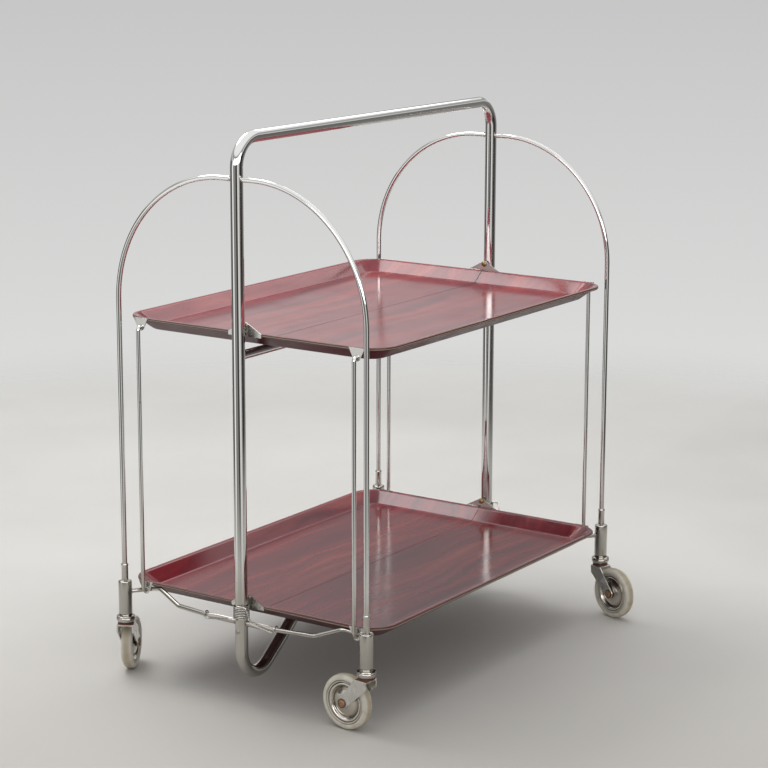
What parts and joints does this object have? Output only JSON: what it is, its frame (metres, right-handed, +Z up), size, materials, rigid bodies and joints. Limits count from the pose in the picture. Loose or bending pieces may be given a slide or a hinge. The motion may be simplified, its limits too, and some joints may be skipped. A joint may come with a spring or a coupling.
{
  "type": "folding serving trolley",
  "caption": "Two-tier folding serving trolley: chromed tube loop with arched rod legs, split laminate trays that fold up on link rods, and swivel casters.",
  "frame": {"origin": "on the floor, under the centre of the trolley", "axes": "+X along the handle, -Y the front, +Z up"},
  "size_m": [0.6404, 0.5316, 0.76],
  "materials": {
    "chrome": "bright plated",
    "plated_sheet": "dull plated sheet",
    "steel": "plain rivet steel",
    "axle_steel": "tarnished",
    "spring_wire": "plated wire",
    "brass": "tarnished",
    "laminate": "glossy red-brown wood-look laminate",
    "tyre": "ivory, satin"
  },
  "bodies": {
    "frame": {"frame_loop": "chrome", "upper_cross_bar": "chrome", "tray_hinge_pins": "brass", "loop_rivets": "steel", "spring_left": "spring_wire", "spring_right": "spring_wire"},
    "upper_front_half": {"upper_front_panel": "laminate", "upper_front_hinge_plates": "plated_sheet", "upper_front_corner_ears": "plated_sheet", "upper_front_rivets": "steel"},
    "lower_front_half": {"lower_front_panel": "laminate", "lower_front_hinge_plates": "plated_sheet", "lower_front_corner_ears": "plated_sheet", "lower_front_rivets": "steel"},
    "upper_back_half": {"upper_back_panel": "laminate", "upper_back_hinge_plates": "plated_sheet", "upper_back_corner_ears": "plated_sheet", "upper_back_rivets": "steel"},
    "lower_back_half": {"lower_back_panel": "laminate", "lower_back_hinge_plates": "plated_sheet", "lower_back_corner_ears": "plated_sheet", "lower_back_rivets": "steel"},
    "left_front_gate": {"left_front_hoop_leg": "chrome", "left_front_socket": "chrome", "left_front_arm": "chrome", "left_front_swivel_stem": "chrome"},
    "left_front_link": {"left_front_link_rod": "chrome"},
    "left_front_caster": {"left_front_fork": "plated_sheet", "left_front_axle": "axle_steel"},
    "left_front_wheel": {"left_front_hub": "chrome", "left_front_tyre": "tyre"},
    "left_back_gate": {"left_back_hoop_leg": "chrome", "left_back_socket": "chrome", "left_back_arm": "chrome", "left_back_swivel_stem": "chrome"},
    "left_back_link": {"left_back_link_rod": "chrome"},
    "left_back_caster": {"left_back_fork": "plated_sheet", "left_back_axle": "axle_steel"},
    "left_back_wheel": {"left_back_hub": "chrome", "left_back_tyre": "tyre"},
    "right_front_gate": {"right_front_hoop_leg": "chrome", "right_front_socket": "chrome", "right_front_arm": "chrome", "right_front_swivel_stem": "chrome"},
    "right_front_link": {"right_front_link_rod": "chrome"},
    "right_front_caster": {"right_front_fork": "plated_sheet", "right_front_axle": "axle_steel"},
    "right_front_wheel": {"right_front_hub": "chrome", "right_front_tyre": "tyre"},
    "right_back_gate": {"right_back_hoop_leg": "chrome", "right_back_socket": "chrome", "right_back_arm": "chrome", "right_back_swivel_stem": "chrome"},
    "right_back_link": {"right_back_link_rod": "chrome"},
    "right_back_caster": {"right_back_fork": "plated_sheet", "right_back_axle": "axle_steel"},
    "right_back_wheel": {"right_back_hub": "chrome", "right_back_tyre": "tyre"}
  },
  "joints": [
    {"name": "upper_front_fold", "type": "hinge", "parent": "frame", "child": "upper_front_half", "pos_m": [0, 0, 0.509], "axis": [-1, 0, 0], "range_deg": [0, 88]},
    {"name": "lower_front_fold", "type": "hinge", "parent": "frame", "child": "lower_front_half", "pos_m": [0, 0, 0.143], "axis": [-1, 0, 0], "range_deg": [0, 88]},
    {"name": "upper_back_fold", "type": "hinge", "parent": "frame", "child": "upper_back_half", "pos_m": [0, 0, 0.509], "axis": [1, 0, 0], "range_deg": [0, 88]},
    {"name": "lower_back_fold", "type": "hinge", "parent": "frame", "child": "lower_back_half", "pos_m": [0, 0, 0.143], "axis": [1, 0, 0], "range_deg": [0, 88]},
    {"name": "left_front_gate_swing", "type": "hinge", "parent": "frame", "child": "left_front_gate", "pos_m": [-0.307, -0.004, 0.4], "axis": [0, 0, -1], "range_deg": [0, 1], "stiffness_Nm_per_rad": 2, "springref_deg": -14.32, "deforming": ["spring_left"]},
    {"name": "left_front_link_pivot", "type": "hinge", "parent": "upper_front_half", "child": "left_front_link", "pos_m": [-0.2926, -0.175, 0.488], "axis": [-1, 0, 0], "range_deg": [-88, 0]},
    {"name": "left_front_swivel", "type": "hinge", "parent": "left_front_gate", "child": "left_front_caster", "pos_m": [-0.307, -0.2, 0.072], "axis": [0, 0, 1], "continuous": true},
    {"name": "left_front_roll", "type": "hinge", "parent": "left_front_caster", "child": "left_front_wheel", "pos_m": [-0.30484, -0.16908, 0.037], "axis": [-0.9976, 0.0698, 0], "continuous": true},
    {"name": "left_back_gate_swing", "type": "hinge", "parent": "frame", "child": "left_back_gate", "pos_m": [-0.307, 0.004, 0.4], "axis": [0, 0, 1], "range_deg": [0, 1], "stiffness_Nm_per_rad": 2, "springref_deg": -14.32, "deforming": ["spring_left"]},
    {"name": "left_back_link_pivot", "type": "hinge", "parent": "upper_back_half", "child": "left_back_link", "pos_m": [-0.2926, 0.175, 0.488], "axis": [1, 0, 0], "range_deg": [-88, 0]},
    {"name": "left_back_swivel", "type": "hinge", "parent": "left_back_gate", "child": "left_back_caster", "pos_m": [-0.307, 0.2, 0.072], "axis": [0, 0, 1], "continuous": true},
    {"name": "left_back_roll", "type": "hinge", "parent": "left_back_caster", "child": "left_back_wheel", "pos_m": [-0.27963, 0.21455, 0.037], "axis": [-0.4695, 0.8829, 0], "continuous": true},
    {"name": "right_front_gate_swing", "type": "hinge", "parent": "frame", "child": "right_front_gate", "pos_m": [0.307, -0.004, 0.4], "axis": [0, 0, 1], "range_deg": [0, 1], "stiffness_Nm_per_rad": 2, "springref_deg": -14.32, "deforming": ["spring_right"]},
    {"name": "right_front_link_pivot", "type": "hinge", "parent": "upper_front_half", "child": "right_front_link", "pos_m": [0.2926, -0.175, 0.488], "axis": [-1, 0, 0], "range_deg": [-88, 0]},
    {"name": "right_front_swivel", "type": "hinge", "parent": "right_front_gate", "child": "right_front_caster", "pos_m": [0.307, -0.2, 0.072], "axis": [0, 0, 1], "continuous": true},
    {"name": "right_front_roll", "type": "hinge", "parent": "right_front_caster", "child": "right_front_wheel", "pos_m": [0.29742, -0.22948, 0.037], "axis": [0.9511, -0.309, 0], "continuous": true},
    {"name": "right_back_gate_swing", "type": "hinge", "parent": "frame", "child": "right_back_gate", "pos_m": [0.307, 0.004, 0.4], "axis": [0, 0, -1], "range_deg": [0, 1], "stiffness_Nm_per_rad": 2, "springref_deg": -14.32, "deforming": ["spring_right"]},
    {"name": "right_back_link_pivot", "type": "hinge", "parent": "upper_back_half", "child": "right_back_link", "pos_m": [0.2926, 0.175, 0.488], "axis": [1, 0, 0], "range_deg": [-88, 0]},
    {"name": "right_back_swivel", "type": "hinge", "parent": "right_back_gate", "child": "right_back_caster", "pos_m": [0.307, 0.2, 0.072], "axis": [0, 0, 1], "continuous": true},
    {"name": "right_back_roll", "type": "hinge", "parent": "right_back_caster", "child": "right_back_wheel", "pos_m": [0.29742, 0.22948, 0.037], "axis": [-0.9511, -0.309, 0], "continuous": true}
  ],
  "couplings": [
    {"joint": "lower_front_fold", "follows": "upper_front_fold", "ratio": 1},
    {"joint": "lower_back_fold", "follows": "upper_back_fold", "ratio": 1},
    {"joint": "left_front_link_pivot", "follows": "upper_front_fold", "ratio": -1},
    {"joint": "left_back_link_pivot", "follows": "upper_back_fold", "ratio": -1},
    {"joint": "right_front_link_pivot", "follows": "upper_front_fold", "ratio": -1},
    {"joint": "right_back_link_pivot", "follows": "upper_back_fold", "ratio": -1}
  ]
}
